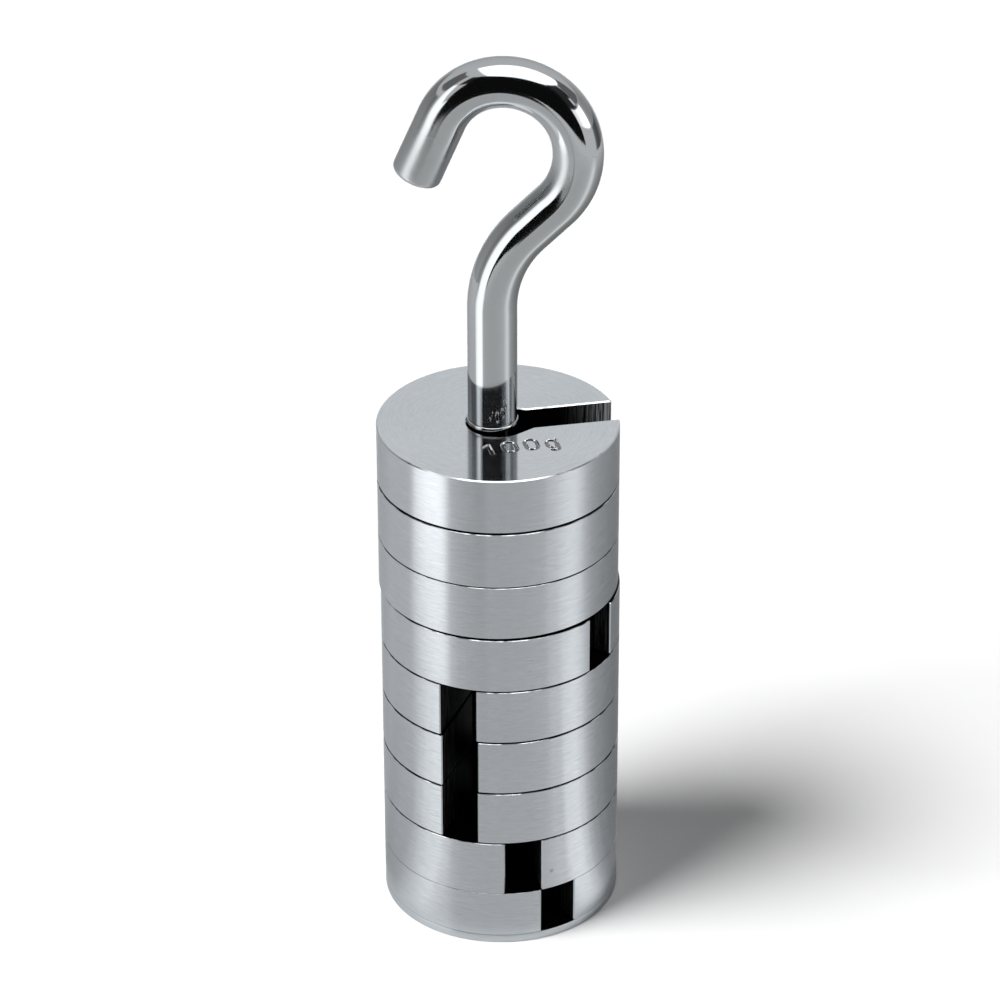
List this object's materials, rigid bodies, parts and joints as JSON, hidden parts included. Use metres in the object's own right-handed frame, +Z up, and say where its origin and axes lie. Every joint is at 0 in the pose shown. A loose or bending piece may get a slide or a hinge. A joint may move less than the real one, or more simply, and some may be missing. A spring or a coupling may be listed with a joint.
{
  "type": "slotted weight set on a hook hanger",
  "caption": "Turned steel slotted calibration weights stacked on a hanger: a bent hook bar with a flat round foot. Hangs by its hook or stands on its foot.",
  "frame": {"origin": "centre of the foot's underside, on the surface that the set stands on", "axes": "+Z up along the weights' axis, +X towards the side that the hook first bends to, -Y towards the front"},
  "size_m": [0.0425, 0.0422, 0.1639],
  "materials": {
    "polished_bar": "mirror polished, chromed",
    "turned_steel": "fine turned, satin"
  },
  "bodies": {
    "hanger": {"hook_rod": "polished_bar", "foot_plate": "turned_steel"},
    "weight_1": {"slotted_weight_1": "turned_steel"},
    "weight_2": {"slotted_weight_2": "turned_steel"},
    "weight_3": {"slotted_weight_3": "turned_steel"},
    "weight_4": {"slotted_weight_4": "turned_steel"},
    "weight_5": {"slotted_weight_5": "turned_steel"},
    "weight_6": {"slotted_weight_6": "turned_steel"},
    "weight_7": {"slotted_weight_7": "turned_steel"},
    "weight_8": {"slotted_weight_8": "turned_steel"},
    "weight_9": {"slotted_weight_9": "turned_steel"}
  },
  "joints": [
    {"name": "weight_1_turn", "type": "hinge", "parent": "hanger", "child": "weight_1", "pos_m": [-0.0003, 0, 0.0899], "axis": [0, 0, 1], "continuous": true},
    {"name": "weight_2_turn", "type": "hinge", "parent": "hanger", "child": "weight_2", "pos_m": [-0.0003, 0, 0.07932], "axis": [0, 0, 1], "continuous": true},
    {"name": "weight_3_turn", "type": "hinge", "parent": "hanger", "child": "weight_3", "pos_m": [-0.0003, 0, 0.06874], "axis": [0, 0, 1], "continuous": true},
    {"name": "weight_4_turn", "type": "hinge", "parent": "hanger", "child": "weight_4", "pos_m": [0, 0, 0.05816], "axis": [0, 0, 1], "continuous": true},
    {"name": "weight_5_turn", "type": "hinge", "parent": "hanger", "child": "weight_5", "pos_m": [0, 0, 0.04758], "axis": [0, 0, 1], "continuous": true},
    {"name": "weight_6_turn", "type": "hinge", "parent": "hanger", "child": "weight_6", "pos_m": [0, 0, 0.037], "axis": [0, 0, 1], "continuous": true},
    {"name": "weight_7_turn", "type": "hinge", "parent": "hanger", "child": "weight_7", "pos_m": [0, 0, 0.02642], "axis": [0, 0, 1], "continuous": true},
    {"name": "weight_8_turn", "type": "hinge", "parent": "hanger", "child": "weight_8", "pos_m": [0, 0, 0.01584], "axis": [0, 0, 1], "continuous": true},
    {"name": "weight_9_turn", "type": "hinge", "parent": "hanger", "child": "weight_9", "pos_m": [0, 0, 0.00607], "axis": [0, 0, 1], "continuous": true}
  ]
}
